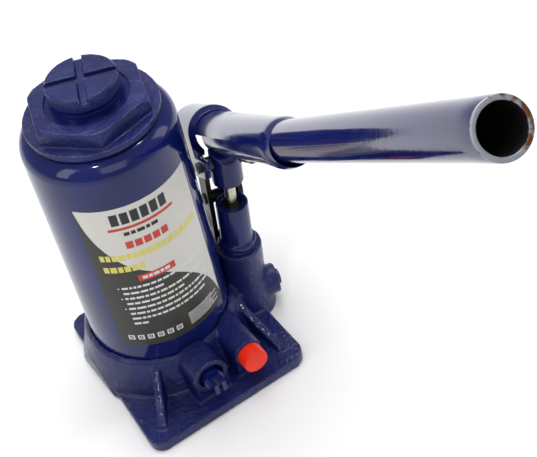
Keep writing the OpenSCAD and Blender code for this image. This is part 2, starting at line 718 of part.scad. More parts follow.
base_casting();
reservoir_tank();
tank_gasket();
inner_cylinder();
cylinder_gasket();
top_nut();
nut_seal_ring();
guide_bush();
ram_seal();
ram_wiper();
label();
filler_plug();
oil_filter();
pump_cylinder();
pump_washer();
pump_gland();
link_low_pin();
suction_ball();
suction_stop();
suction_plug();
delivery_ball();
delivery_stop();
safety_cap();
safety_screw();
safety_spring();
safety_ball();
release_ball();
ram();
ram_cup_seal();
ram_retainer();
ram_retainer_screw();
screw_stop_ring();
extension_screw();
release_stem();
release_oring();
pump_plunger();
plunger_seal();
plunger_clip();
socket_yoke();
socket_tube();
plunger_pin();
fulcrum_pin();
link_plate_left();
link_plate_right();
link_spacer();
handle_tube();
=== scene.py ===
"""Hydraulic bottle jack: looks, floor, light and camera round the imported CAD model.

Blender's lengths are in metres. Outlines of pieces are in millimetres and are scaled by MM.
"""
import json
import math
import random

import bmesh
import bpy
from mathutils import Matrix, Vector, noise


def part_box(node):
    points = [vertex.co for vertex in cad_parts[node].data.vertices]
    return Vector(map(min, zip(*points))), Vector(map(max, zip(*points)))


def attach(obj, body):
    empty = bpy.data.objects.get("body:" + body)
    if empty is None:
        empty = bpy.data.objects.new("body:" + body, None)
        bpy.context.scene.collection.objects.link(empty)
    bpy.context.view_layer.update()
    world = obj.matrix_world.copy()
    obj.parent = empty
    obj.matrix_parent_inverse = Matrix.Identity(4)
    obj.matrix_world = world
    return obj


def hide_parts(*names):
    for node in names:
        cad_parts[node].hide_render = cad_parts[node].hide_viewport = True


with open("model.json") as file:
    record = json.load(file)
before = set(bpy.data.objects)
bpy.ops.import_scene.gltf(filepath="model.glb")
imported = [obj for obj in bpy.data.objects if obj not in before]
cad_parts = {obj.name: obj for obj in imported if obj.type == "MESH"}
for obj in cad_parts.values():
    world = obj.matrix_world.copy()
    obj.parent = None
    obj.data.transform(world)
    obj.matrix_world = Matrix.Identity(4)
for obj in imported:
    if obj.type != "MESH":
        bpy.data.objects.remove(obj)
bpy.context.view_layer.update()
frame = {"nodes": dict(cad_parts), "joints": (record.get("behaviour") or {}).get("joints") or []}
MM = 0.001
JOINTS = {j["name"]: j for j in frame["joints"]}
NODES = frame["nodes"]
scene = bpy.context.scene
rng = random.Random(7)


# ---------- camera, light and floor ----------
CAMERA_PLACE = (-0.159326, -0.555235, 0.639707)
CAMERA_TURN = (-23.853, 44.725, 13.702)  # azimuth, elevation and roll in degrees
LENS = 88.468
SENSOR = 36
WORLD_LIGHT = 0.36
FLOOR_HALF = 3.0
FLOOR_WHITE = 0.93
# name, place, target, width, watts, height
LIGHTS = [
    ("softbox_top", (0.15, 0.55, 1.6), (0, 0.1, 0.0), 1.2, 21, 1.2),
    ("softbox_left", (-1.1, -0.15, 0.8), (0, 0, 0.12), 0.35, 3.0, 1.0),
    ("softbox_right", (1.2, -0.35, 0.7), (0, 0, 0.12), 0.4, 2.5, 0.9),
    ("softbox_front", (-0.3, -1.4, 1.2), (0, -0.1, 0.05), 1.0, 4.5, 1.0),
    ("glint_left", (-0.5, -0.45, 1.5), (0, 0, 0.15), 0.10, 2.2, 0.10),
    ("glint_right", (0.6, -0.1, 1.5), (0, 0, 0.15), 0.08, 1.6, 0.08),
]


def look_matrix(azimuth, elevation, roll):
    """Rotation of a camera at an azimuth and elevation, turned about its own line of sight."""
    a, e, r = (math.radians(v) for v in (azimuth, elevation, roll))
    ahead = Vector((-math.sin(a) * math.cos(e), math.cos(a) * math.cos(e), -math.sin(e)))
    right = ahead.cross(Vector((0, 0, 1))).normalized()
    down = ahead.cross(right)
    x = math.cos(r) * right + math.sin(r) * down
    y = -math.sin(r) * right + math.cos(r) * down
    return Matrix((x, -y, -ahead)).transposed()


def add_camera():
    data = bpy.data.cameras.new("camera")
    data.lens = LENS
    data.sensor_width = SENSOR
    data.clip_start = 0.01
    camera = bpy.data.objects.new("camera", data)
    camera.matrix_world = Matrix.Translation(CAMERA_PLACE) @ look_matrix(*CAMERA_TURN).to_4x4()
    scene.collection.objects.link(camera)
    scene.camera = camera


def area_light(name, place, target, width, watts, height):
    data = bpy.data.lights.new(name, "AREA")
    data.energy = watts
    data.shape = "RECTANGLE"
    data.size = width
    data.size_y = height
    lamp = bpy.data.objects.new(name, data)
    lamp.location = place
    lamp.rotation_mode = "QUATERNION"
    lamp.rotation_quaternion = (Vector(target) - Vector(place)).to_track_quat("-Z", "Y")
    scene.collection.objects.link(lamp)


def add_studio():
    world = bpy.data.worlds.new("studio")
    world.use_nodes = True
    world.node_tree.nodes["Background"].inputs["Color"].default_value = (1, 1, 1, 1)
    world.node_tree.nodes["Background"].inputs["Strength"].default_value = WORLD_LIGHT
    scene.world = world
    scene.view_settings.view_transform = "Standard"
    for light in LIGHTS:
        area_light(*light)
    mesh = bpy.data.meshes.new("floor")
    corners = [(x * FLOOR_HALF, y * FLOOR_HALF, 0) for x, y in ((-1, -1), (1, -1), (1, 1), (-1, 1))]
    mesh.from_pydata(corners, [], [(0, 1, 2, 3)])
    floor = bpy.data.objects.new("floor", mesh)
    scene.collection.objects.link(floor)
    mat = bpy.data.materials.new("floor_white")
    mat.use_nodes = True
    shader = mat.node_tree.nodes["Principled BSDF"]
    shader.inputs["Base Color"].default_value = (FLOOR_WHITE, FLOOR_WHITE, FLOOR_WHITE, 1)
    shader.inputs["Roughness"].default_value = 0.9
    mesh.materials.append(mat)


# ---------- materials ----------
class Nodes:
    """Short names for the nodes of one procedural material."""

    def __init__(self, name, **values):
        self.mat = bpy.data.materials.new(name)
        self.mat.use_nodes = True
        self.tree = self.mat.node_tree
        self.shader = self.tree.nodes["Principled BSDF"]
        for key, value in values.items():
            self.shader.inputs[key.replace("_", " ").title().replace("Ior", "IOR")].default_value = value
        self.place = self.tree.nodes.new("ShaderNodeTexCoord").outputs["Object"]

    def link(self, out, socket):
        self.tree.links.new(out, socket)
        return out

    def noise(self, scale, detail=4, rough=0.5, place=None):
        n = self.tree.nodes.new("ShaderNodeTexNoise")
        n.inputs["Scale"].default_value = scale
        n.inputs["Detail"].default_value = detail
        n.inputs["Roughness"].default_value = rough
        self.link(place or self.place, n.inputs["Vector"])
        return n.outputs["Fac"]

    def stretch(self, x, y, z):
        n = self.tree.nodes.new("ShaderNodeMapping")
        n.inputs["Scale"].default_value = (x, y, z)
        self.link(self.place, n.inputs["Vector"])
        return n.outputs["Vector"]

    def ramp(self, fac, stops):
        n = self.tree.nodes.new("ShaderNodeValToRGB")
        while len(n.color_ramp.elements) < len(stops):
            n.color_ramp.elements.new(0.5)
        for element, (place, colour) in zip(n.color_ramp.elements, stops):
            element.position = place
            element.color = (*colour, 1) if isinstance(colour, tuple) else (colour, colour, colour, 1)
        self.link(fac, n.inputs["Fac"])
        return n.outputs["Color"]

    def mix(self, fac, a, b):
        n = self.tree.nodes.new("ShaderNodeMix")
        n.data_type = "RGBA"
        self.link(fac, n.inputs[0])
        for value, socket in ((a, n.inputs[6]), (b, n.inputs[7])):
            if isinstance(value, tuple):
                socket.default_value = (*value, 1)
            else:
                self.link(value, socket)
        return n.outputs[2]

    def axis(self, index):
        n = self.tree.nodes.new("ShaderNodeSeparateXYZ")
        self.link(self.place, n.inputs[0])
        return n.outputs[index]

    def over(self, value, low, high):
        """0 below low, 1 above high."""
        n = self.tree.nodes.new("ShaderNodeMapRange")
        n.inputs["From Min"].default_value = low
        n.inputs["From Max"].default_value = high
        self.link(value, n.inputs["Value"])
        return n.outputs["Result"]

    def math(self, kind, a, b):
        n = self.tree.nodes.new("ShaderNodeMath")
        n.operation = kind
        for value, socket in ((a, n.inputs[0]), (b, n.inputs[1])):
            if isinstance(value, (int, float)):
                socket.default_value = value
            else:
                self.link(value, socket)
        return n.outputs[0]

    def vector(self, kind, value, other=None):
        """A vector operation. Gives a number for a dot product or a length, or else a vector."""
        n = self.tree.nodes.new("ShaderNodeVectorMath")
        n.operation = kind
        self.link(value, n.inputs[0])
        if other is not None:
            n.inputs[1].default_value = other
        return n.outputs["Value" if kind in ("DOT_PRODUCT", "LENGTH") else "Vector"]

    def along(self, origin, axis):
        """How far a point is along an axis from an origin, in metres."""
        return self.math("SUBTRACT", self.vector("DOT_PRODUCT", self.place, axis), origin.dot(axis))

    def distance(self, origin, axis):
        """Distance of a point from a line, in metres."""
        offset = self.vector("SUBTRACT", self.place, origin)
        return self.vector("LENGTH", self.vector("CROSS_PRODUCT", offset, axis))

    def bump(self, height, distance, strength=1.0, under=None):
        n = self.tree.nodes.new("ShaderNodeBump")
        n.inputs["Distance"].default_value = distance
        n.inputs["Strength"].default_value = strength
        self.link(height, n.inputs["Height"])
        if under:
            self.link(under, n.inputs["Normal"])
        return n.outputs["Normal"]

    def finish(self, colour, rough, normal, metallic=None):
        inputs = {"Base Color": colour, "Roughness": rough, "Normal": normal, "Metallic": metallic}
        for name, out in inputs.items():
            if out is not None:
                self.link(out, self.shader.inputs[name])
        return self.mat


BLUE_DARK = (0.0035, 0.0070, 0.074)
BLUE = (0.0055, 0.0110, 0.108)
BLUE_LIGHT = (0.0085, 0.0165, 0.140)
STEEL = (0.52, 0.52, 0.53)
RUST = (0.16, 0.06, 0.02)
# light blue-grey colour painted on sharp cast edges as a highlight (glint)
PAINTED_GLINT = (0.30, 0.34, 0.48)
DUST = (0.06, 0.07, 0.14)
GLINT_FROM = 0.0005  # only castings with more bump than this, in metres, get painted highlights (glints) on their sharp edges
RAM_PAINT = 21  # painted length at the ram's top, in mm
HANDLE_START, HANDLE_END, HANDLE_R, HANDLE_BORE = 106, 393, 10.5, 8.5


def paint(name, peel, coarse=0.0, rough=(0.06, 0.16)):
    """Blue enamel: an uneven film, orange peel, faint dust and a coat.

    A casting adds the bumps of its sand mould, and a coarse one painted highlights (glints) along its sharp
    edges too.
    """
    n = Nodes(name, coat_weight=0.2, coat_roughness=0.03, ior=1.38)
    tint = n.ramp(n.noise(28, 5), [(0.3, BLUE_DARK), (0.55, BLUE), (0.8, BLUE_LIGHT)])
    dust = n.ramp(n.noise(900, 3, 0.7), [(0.66, 0.0), (0.74, 1.0)])
    colour = n.mix(n.math("MULTIPLY", dust, 0.10), tint, DUST)
    shine = n.ramp(n.noise(60, 4), [(0.3, rough[0]), (0.75, rough[1])])
    if coarse > GLINT_FROM:
        # painted highlight: sharp edges, broken up by noise, are lightened towards a blue-grey glint colour
        edges = n.tree.nodes.new("ShaderNodeNewGeometry").outputs["Pointiness"]
        sharp = n.ramp(edges, [(0.54, 0.0), (0.58, 1.0)])
        glint_breaks = n.ramp(n.noise(330, 3), [(0.50, 0.0), (0.60, 0.8)])
        colour = n.mix(n.math("MULTIPLY", sharp, glint_breaks), colour, PAINTED_GLINT)
    normal = n.bump(n.noise(420, 2), peel)
    if coarse:
        sand = n.noise(850, 4, 0.65)
        patch = n.ramp(n.noise(70, 3), [(0.35, 0.35), (0.65, 1.0)])
        normal = n.bump(n.math("MULTIPLY", sand, patch), coarse, under=normal)
        normal = n.bump(n.noise(260, 4, 0.6), coarse * 0.8, 0.7, under=normal)
    return n.finish(colour, shine, normal)


def bare_steel(name, colour=STEEL, tint=(0.40, 0.36, 0.22), brushed=(40, 40, 900)):
    """Machined steel with fine turning marks, an oily tint and small dark spots."""
    n = Nodes(name, metallic=1.0)
    marks = n.noise(1.0, 3, 0.6, n.stretch(*brushed))
    base = n.mix(n.ramp(n.noise(120, 4), [(0.42, 0.0), (0.7, 1.0)]), colour, tint)
    base = n.mix(n.ramp(n.noise(700, 3), [(0.68, 0.0), (0.76, 1.0)]), base, (0.10, 0.08, 0.06))
    return n.finish(base, n.ramp(marks, [(0.3, 0.18), (0.7, 0.42)]), n.bump(marks, 0.00002))


def black_oxide(name, colour=(0.012, 0.012, 0.015)):
    """Blackened steel with a few worn grey places."""
    n = Nodes(name, metallic=0.7)
    base = n.mix(n.ramp(n.noise(300, 5), [(0.5, 0.0), (0.72, 1.0)]), colour, (0.06, 0.055, 0.05))
    rough = n.ramp(n.noise(150, 3), [(0.3, 0.32), (0.7, 0.55)])
    return n.finish(base, rough, n.bump(n.noise(800, 3), 0.00005))


def plain_solid(name, colour, other, rough, scale=200, bump=0.00005, **values):
    """Moulded plastic, rubber, soft copper or bronze: two close tints, uneven gloss and a fine grain."""
    n = Nodes(name, **values)
    base = n.mix(n.ramp(n.noise(scale, 4), [(0.35, 0.0), (0.7, 1.0)]), colour, other)
    shine = n.ramp(n.noise(scale * 0.6, 3), [(0.3, rough[0]), (0.7, rough[1])])
    return n.finish(base, shine, n.bump(n.noise(scale * 5, 3), bump))


def ram_finish():
    """Painted at the top, ground steel below."""
    n = Nodes("ram_finish", coat_weight=0.3, coat_roughness=0.08)
    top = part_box("ram")[1].z
    shown = n.over(n.axis(2), top - RAM_PAINT * MM, top - (RAM_PAINT - 0.4) * MM)
    marks = n.noise(1.0, 3, 0.6, n.stretch(30, 30, 1100))
    oily = n.ramp(n.noise(150, 4), [(0.4, 0.0), (0.7, 1.0)])
    steel = n.mix(oily, (0.56, 0.56, 0.57), (0.44, 0.42, 0.36))
    colour = n.mix(shown, steel, n.ramp(n.noise(40, 5), [(0.3, BLUE_DARK), (0.7, BLUE_LIGHT)]))
    rough = n.ramp(marks, [(0.3, 0.10), (0.7, 0.30)])
    return n.finish(colour, rough, n.bump(marks, 0.00001), n.math("SUBTRACT", 1.0, shown))


def handle_finish(origin, along, reach):
    """Enamel, chipped to steel on the open rim with rust on its right side, and near-black painted shade
    inside the tube.
    """
    n = Nodes("handle_paint", coat_weight=0.3, coat_roughness=0.03, ior=1.4)
    t = n.along(origin, along)
    tint = n.ramp(n.noise(24, 5), [(0.3, BLUE_DARK), (0.55, BLUE), (0.8, BLUE_LIGHT)])
    chip_line = n.math("ADD", t, n.math("MULTIPLY", n.noise(260, 5, 0.65), 2.6 * MM))
    chipped = n.over(chip_line, reach + 0.7 * MM, reach + 0.95 * MM)
    away = n.along(origin, side_axis)
    rusty = n.math("ADD", n.noise(330, 4), n.math("MULTIPLY", away, 14.0))
    metal = n.mix(n.ramp(rusty, [(0.52, 0.0), (0.66, 1.0)]), (0.36, 0.38, 0.42), RUST)
    colour = n.mix(chipped, tint, metal)
    # painted shade: the bore, from about 1 mm past the open end, is coloured near black
    square = n.math("SUBTRACT", n.distance(origin, along), (HANDLE_BORE + 0.5) * MM)
    deep = n.over(t, reach - 0.6 * MM, reach - 1.6 * MM)
    inside = n.math("MULTIPLY", n.over(square, 0.0, -0.3 * MM), deep)
    colour = n.mix(inside, colour, (0.010, 0.009, 0.010))
    rough = n.mix(chipped, n.ramp(n.noise(60, 4), [(0.3, 0.06), (0.75, 0.14)]), (0.42, 0.42, 0.42))
    rough = n.mix(inside, rough, (0.6, 0.6, 0.6))
    normal = n.bump(n.noise(300, 2), 0.00005)
    normal = n.bump(chipped, 0.00008, 0.8, under=normal)
    return n.finish(colour, rough, normal, n.math("MULTIPLY", chipped, 0.8))


def label_print(name, colour, other):
    """Printed film: two close tints under a thin coat."""
    n = Nodes(name, coat_weight=0.06, coat_roughness=0.12, ior=1.35)
    base = n.mix(n.noise(90, 4), colour, other)
    rough = n.ramp(n.noise(200, 3), [(0.3, 0.30), (0.7, 0.42)])
    return n.finish(base, rough, n.bump(n.noise(1500, 2), 0.000012))


# ---------- mesh helpers ----------
def add_object(name, verts, faces, material, matrix=None, sharp=35):
    mesh = bpy.data.meshes.new(name)
    mesh.from_pydata([tuple(v) for v in verts], [], faces)
    obj = bpy.data.objects.new(name, mesh)
    scene.collection.objects.link(obj)
    if matrix is not None:
        mesh.transform(matrix)
    tidy_mesh(mesh, sharp)
    cover(mesh, material)
    return obj


def cover(mesh, material):
    mesh.materials.clear()
    mesh.materials.append(material)


def tidy_mesh(mesh, sharp=35):
    bm = bmesh.new()
    bm.from_mesh(mesh)
    bmesh.ops.recalc_face_normals(bm, faces=bm.faces)
    bm.to_mesh(mesh)
    bm.free()
    mesh.shade_smooth()
    mesh.set_sharp_from_angle(angle=math.radians(sharp))


def fillet(points, radius):
    """A closed outline in mm with every corner rounded, as far as its sides allow."""
    steps = 4
    out = []
    count = len(points)
    for i in range(count):
        before, here, after = (Vector(points[(i + k) % count]) for k in (-1, 0, 1))
        a, b = before - here, after - here
        r = radius[i] if isinstance(radius, (list, tuple)) else radius
        reach = min(r, a.length * 0.45, b.length * 0.45)
        if reach <= 1e-6:
            out.append(tuple(here))
            continue
        start, end = here + a.normalized() * reach, here + b.normalized() * reach
        for k in range(steps + 1):
            f = k / steps
            out.append(tuple((1 - f) ** 2 * start + 2 * f * (1 - f) * here + f ** 2 * end))
    return out


def revolve(name, outline, material, matrix=None, segments=144):
    """A closed (radius, height) outline in mm, turned about local Z. A point on the axis becomes a pole."""
    verts, rings = [], []
    for radius, height in outline:
        if radius < 1e-6:
            rings.append([len(verts)] * segments)
            verts.append((0, 0, height * MM))
            continue
        rings.append([len(verts) + k for k in range(segments)])
        for k in range(segments):
            a = 2 * math.pi * k / segments
            verts.append((radius * MM * math.cos(a), radius * MM * math.sin(a), height * MM))
    faces = []
    for i, ring in enumerate(rings):
        other = rings[(i + 1) % len(rings)]
        for k in range(segments):
            j = (k + 1) % segments
            face = list(dict.fromkeys((ring[k], ring[j], other[j], other[k])))
            if len(face) > 2:
                faces.append(face)
    return add_object(name, verts, faces, material, matrix)


def bake_modifiers(obj):
    graph = bpy.context.evaluated_depsgraph_get()
    mesh = bpy.data.meshes.new_from_object(obj.evaluated_get(graph), depsgraph=graph)
    obj.modifiers.clear()
    obj.data = mesh


def carve(obj, cutter, material):
    cut = obj.modifiers.new("carve", "BOOLEAN")
    cut.operation = "DIFFERENCE"
    cut.object = cutter
    cut.solver = "EXACT"
    bake_modifiers(obj)
    bpy.data.objects.remove(cutter)
    tidy_mesh(obj.data)
    cover(obj.data, material)


def keep_above(obj, place, up):
    """Cuts off what lies under a plane and closes the cut."""
    bm = bmesh.new()
    bm.from_mesh(obj.data)
    whole = bm.verts[:] + bm.edges[:] + bm.faces[:]
    bmesh.ops.bisect_plane(bm, geom=whole, plane_co=place, plane_no=-up, clear_outer=True)
    bmesh.ops.holes_fill(bm, edges=[e for e in bm.edges if e.is_boundary])
    bm.to_mesh(obj.data)
    bm.free()


def recast(node, name, material, voxel, passes, grain):
    """A dense copy of a CAD node with softened edges and a cast skin that stays inside the node's box."""
    obj = bpy.data.objects.new(name, NODES[node].data.copy())
    scene.collection.objects.link(obj)
    remesh = obj.modifiers.new("remesh", "REMESH")
    remesh.mode = "VOXEL"
    remesh.voxel_size = voxel * MM
    soft = obj.modifiers.new("soften", "SMOOTH")
    soft.factor = 0.5
    soft.iterations = passes
    bake_modifiers(obj)
    mesh = obj.data
    low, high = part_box(node)
    moved = []
    for v in mesh.vertices:
        p = v.co
        bumps = noise.fractal(p * 420, 0.9, 2.1, 3) * 0.6 + noise.noise(p * 150) * 0.3
        pits = max(0.0, noise.noise(p * 620 + Vector((9, 4, 2))) - 0.45) * 1.1
        shift = min(0.0, (bumps - 0.3) * grain * MM) - pits * grain * MM
        q = p + v.normal * shift
        moved.append([max(low[k], min(high[k], q[k])) for k in range(3)])
    mesh.vertices.foreach_set("co", [c for q in moved for c in q])
    mesh.update()
    mesh.shade_smooth()
    mesh.set_sharp_from_angle(angle=math.radians(180))
    cover(mesh, material)
    return obj


def piece(obj, body, slot, *nodes):
    """Rides on a body and stands for CAD nodes, which it hides. The slot is not used."""
    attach(obj, body)
    if nodes:
        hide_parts(*nodes)


# ---------- frames of the pump and the lever ----------
pump_axis = Vector(JOINTS["plunger_stroke"]["axis"])
side_axis = -Vector(JOINTS["lever_swing"]["axis"])
back_axis = pump_axis.cross(side_axis)
pin = Vector(JOINTS["lever_swing"]["pos_m"])
PIN_H = 124
HANDLE_RISE = 8.8
foot = pin - pump_axis * PIN_H * MM
out_axis = Vector(JOINTS["handle_pull"]["axis"])
REST = math.radians(37.5)


def frame_of(x, y, z, origin):
    return Matrix.Translation(origin) @ Matrix((x, y, z)).transposed().to_4x4()


PUMP = frame_of(side_axis, back_axis, pump_axis, foot)
handle_origin = foot + pump_axis * (PIN_H + HANDLE_RISE / math.cos(REST)) * MM
ALONG = frame_of(side_axis, out_axis.cross(side_axis), out_axis, handle_origin)
SOCKET_PIVOT = 130
SOCKET_TILT = math.radians(3.5)
SOCKET = (
    ALONG
    @ Matrix.Translation((0, 0, SOCKET_PIVOT * MM))
    @ Matrix.Rotation(SOCKET_TILT, 4, "X")
    @ Matrix.Translation((0, 0, -SOCKET_PIVOT * MM))
)


# ---------- pieces ----------
def make_materials():
    m = {}
    m["tank"] = paint("tank_paint", 0.00004)
    m["cast"] = paint("cast_paint", 0.00005, coarse=0.0011, rough=(0.08, 0.20))
    m["forged"] = paint("forged_paint", 0.00006, coarse=0.00008)
    m["ram"] = ram_finish()
    m["handle"] = handle_finish(handle_origin, out_axis, HANDLE_END * MM)
    m["rod"] = bare_steel("rod_steel", (0.50, 0.49, 0.38), (0.36, 0.34, 0.20))
    m["steel"] = bare_steel("machined_steel")
    m["thread"] = bare_steel("thread_steel", (0.42, 0.42, 0.43), (0.25, 0.22, 0.16), (300, 300, 300))
    m["black"] = black_oxide("black_oxide")
    m["pin"] = black_oxide("pin_steel", (0.06, 0.06, 0.065))
    m["rubber"] = plain_solid("nitrile_rubber", (0.012, 0.012, 0.012), (0.03, 0.03, 0.03), (0.5, 0.75))
    m["copper"] = plain_solid(
        "soft_copper", (0.62, 0.30, 0.16), (0.45, 0.20, 0.10), (0.3, 0.5), metallic=1.0
    )
    m["bronze"] = plain_solid("bronze", (0.50, 0.36, 0.16), (0.36, 0.25, 0.11), (0.3, 0.5), metallic=1.0)
    m["iron"] = plain_solid(
        "machined_iron", (0.20, 0.20, 0.20), (0.12, 0.12, 0.12), (0.35, 0.6), metallic=0.8
    )
    m["red"] = plain_solid(
        "red_plastic", (0.95, 0.035, 0.008), (0.80, 0.024, 0.006), (0.28, 0.42), 60, 0.00003, ior=1.35
    )
    m["film"] = label_print("label_light", (0.62, 0.60, 0.56), (0.68, 0.67, 0.63))
    m["ink_dark"] = label_print("ink_dark", (0.032, 0.032, 0.028), (0.042, 0.042, 0.038))
    m["ink_black"] = label_print("ink_black", (0.018, 0.018, 0.018), (0.028, 0.028, 0.028))
    m["ink_red"] = label_print("ink_red", (0.50, 0.04, 0.03), (0.60, 0.07, 0.05))
    m["ink_yellow"] = label_print("ink_yellow", (0.72, 0.66, 0.16), (0.62, 0.56, 0.12))
    m["ink_white"] = label_print("ink_white", (0.66, 0.66, 0.64), (0.74, 0.74, 0.72))
    return m


CAD_FINISH = {
    "tank_gasket": "rubber", "cylinder_gasket": "copper", "inner_cylinder": "iron", "nut_seal_ring": "rubber",
    "guide_bush": "bronze", "ram_seal": "rubber", "ram_wiper": "forged", "filler_plug": "rubber",
    "oil_filter": "bronze", "pump_washer": "copper", "pump_gland": "black", "link_low_pin": "pin",
    "suction_ball": "steel", "suction_stop": "steel", "suction_plug": "forged", "delivery_ball": "steel",
    "delivery_stop": "steel", "safety_screw": "steel", "safety_spring": "steel", "safety_ball": "steel",
    "release_ball": "steel", "ram": "ram", "ram_cup_seal": "rubber", "ram_retainer": "steel",
    "ram_retainer_screw": "steel", "screw_stop_ring": "steel", "release_stem": "forged",
    "release_oring": "rubber", "plunger_seal": "rubber", "plunger_clip": "black", "plunger_pin": "pin",
    "fulcrum_pin": "pin", "link_plate_left": "black", "link_plate_right": "black", "link_spacer": "black",
    "label": "film",
}


def finish_cad_nodes(m):
    for node, key in CAD_FINISH.items():
        obj = NODES[node]
        cover(obj.data, m[key])
        for polygon in obj.data.polygons:
            polygon.use_smooth = True
        obj.data.set_sharp_from_angle(angle=math.radians(30))
        if node in ("label", "oil_filter", "safety_spring"):
            continue
        soft = obj.modifiers.new("soft_edges", "BEVEL")
        soft.width = 0.25 * MM
        soft.segments = 2
        soft.limit_method = "ANGLE"
        soft.angle_limit = math.radians(50)


def make_base(m):
    body = recast("base_casting", "base_cast_body", m["cast"], 0.8, 2, grain=0.26)
    piece(body, "base", "cast_paint", "base_casting")


def make_tank(m):
    z0, z1 = (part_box("reservoir_tank")[k].z / MM for k in (0, 1))
    r, wall, shoulder, mouth, hole = 45, 3, 12, 31.0, 5.02

    def curve(radius, steps):
        turns = [math.radians(90 * k / steps) for k in range(steps + 1)]
        return [(r - shoulder + radius * math.cos(a), z1 - shoulder + radius * math.sin(a)) for a in turns]

    outline = [(r - wall, z0), (r, z0)] + curve(shoulder, 20) + [(mouth, z1), (mouth, z1 - wall)]
    outline += reversed(curve(shoulder - wall, 10))
    tank = revolve("tank_shell", outline, m["tank"], segments=256)
    plug_low, plug_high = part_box("filler_plug")
    centre = (plug_low + plug_high) / 2
    place = Matrix.Translation((0, 0, centre.z)) @ Matrix.Rotation(math.radians(-90), 4, "X")
    bore = revolve("cutter", [(0, 30), (hole, 30), (hole, 60), (0, 60)], m["tank"], place, 48)
    carve(tank, bore, m["tank"])
    piece(tank, "base", "blue_paint", "reservoir_tank")


def make_nut(m):
    piece(recast("top_nut", "top_nut_cast", m["cast"], 0.6, 2, grain=0.16), "base", "cast_paint", "top_nut")


def clamp(value):
    return min(1.0, max(0.0, value))


def make_screw(m):
    """The saddle head as a casting, and a threaded shank that shows when the screw is run out."""
    head = recast("extension_screw", "saddle_head", m["cast"], 0.5, 3, grain=0.14)
    low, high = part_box("extension_screw")
    split = high.z - 8.6 * MM
    keep_above(head, (0, 0, split), Vector((0, 0, 1)))
    piece(head, "screw", "blue_paint", "extension_screw")
    # rounded thread: radius follows the turn angle and the height
    pitch, r_out, depth, segments = 4.0, 13.95, 1.6, 96
    bottom, top = low.z / MM, split / MM + 0.3
    thread_low = bottom + 9.2
    rows = []
    height = bottom
    while height < top:
        rows.append(height)
        height += 0.45 if height > thread_low else 2.3
    rows.append(top)
    verts, faces = [], []
    for height in rows:
        for k in range(segments):
            a = 2 * math.pi * k / segments
            wave = 0.5 + 0.5 * math.cos(2 * math.pi * (height / pitch - k / segments))
            fade = clamp((height - thread_low) / 3) * clamp((top - 2 - height) / 2)
            if height > thread_low:
                radius = r_out - depth * fade * (1 - min(1.0, wave * 1.6))
            else:
                radius = r_out - 2.0
            verts.append((radius * MM * math.cos(a), radius * MM * math.sin(a), height * MM))
    for i in range(len(rows) - 1):
        for k in range(segments):
            j = (k + 1) % segments
            lower, upper = i * segments, (i + 1) * segments
            faces.append((lower + k, lower + j, upper + j, upper + k))
    faces.append(tuple(reversed(range(segments))))
    faces.append(tuple((len(rows) - 1) * segments + k for k in range(segments)))
    piece(add_object("screw_thread", verts, faces, m["thread"], sharp=60), "screw", "steel")


def make_pump(m):
    """Cylinder with a rounded rim, a collar and a small bead where it meets the tower."""
    rim, tower, washer = 90, 55, 1.5
    base_z = tower + washer
    outline = fillet(
        [(5, 26), (9, 26), (9, base_z), (12, base_z), (12, base_z + 3.5),
         (10, base_z + 4.2), (10, rim), (6.5, rim), (6.5, rim - 8), (5, rim - 8)],
        [0.2, 0.4, 0.1, 0.8, 1.0, 1.4, 0.9, 0.5, 0.1, 0.1],
    )
    piece(revolve("pump_barrel", outline, m["forged"], PUMP), "base", "blue_paint", "pump_cylinder")
    weld = fillet([(11.5, tower + 0.1), (12.4, tower + 0.1), (12.3, tower + 1.5), (11.5, tower + 1.7)], 0.3)
    piece(revolve("pump_bead", weld, m["forged"], PUMP), "base", "blue_paint")


def make_plunger(m):
    foot_z, head_z, rod, bore = 40, 108.5, 3.5, 4.95
    outline = fillet(
        [(0, foot_z), (bore, foot_z), (bore, foot_z + 3), (rod, foot_z + 3), (rod, foot_z + 8),
         (bore, foot_z + 8), (bore, foot_z + 11), (rod, foot_z + 11), (rod, head_z + 1), (0, head_z + 1)],
        [0, 0.3, 0.2, 0.1, 0.1, 0.2, 0.3, 0.2, 0.1, 0],
    )
    piece(revolve("plunger_rod", outline, m["rod"], PUMP, 96), "plunger", "rod_steel", "pump_plunger")
    head = recast("pump_plunger", "plunger_head", m["forged"], 0.45, 3, grain=0.05)
    keep_above(head, PUMP @ Vector((0, 0, (head_z - 0.2) * MM)), pump_axis)
    piece(head, "plunger", "blue_paint")


def make_lever(m):
    """The yoke, and a tube whose inner end is cut away on one side to clear it."""
    yoke = recast("socket_yoke", "yoke_forging", m["forged"], 0.5, 4, grain=0.04)
    piece(yoke, "lever", "blue_paint", "socket_yoke")
    r, reach, rim, mouth = 12.5, 153, 8, 106
    outline = fillet(
        [(10, -14), (r, -14), (r, reach - 2 * rim), (r + 0.4, reach - 2 * rim + 1),
         (r + 0.4, reach - rim), (11.5, reach), (11.2, reach), (10.9, reach - 2), (10.9, mouth), (10, mouth)],
        [0.3, 0.4, 0.3, 0.3, 1.2, 0.2, 0.1, 0.2, 0.1, 0.1],
    )
    tube = revolve("socket_sleeve", outline, m["tank"], SOCKET)
    bm = bmesh.new()
    bmesh.ops.create_cube(bm, size=1)
    mesh = bpy.data.meshes.new("cutter")
    bm.to_mesh(mesh)
    bm.free()
    cutter = bpy.data.objects.new("cutter", mesh)
    scene.collection.objects.link(cutter)
    scale = Matrix.Diagonal((48 * MM, 28 * MM, 24 * MM, 1))
    mesh.transform(SOCKET @ Matrix.Translation(Vector((0, -12, -3)) * MM) @ scale)
    carve(tube, cutter, m["tank"])
    piece(tube, "lever", "blue_paint", "socket_tube")


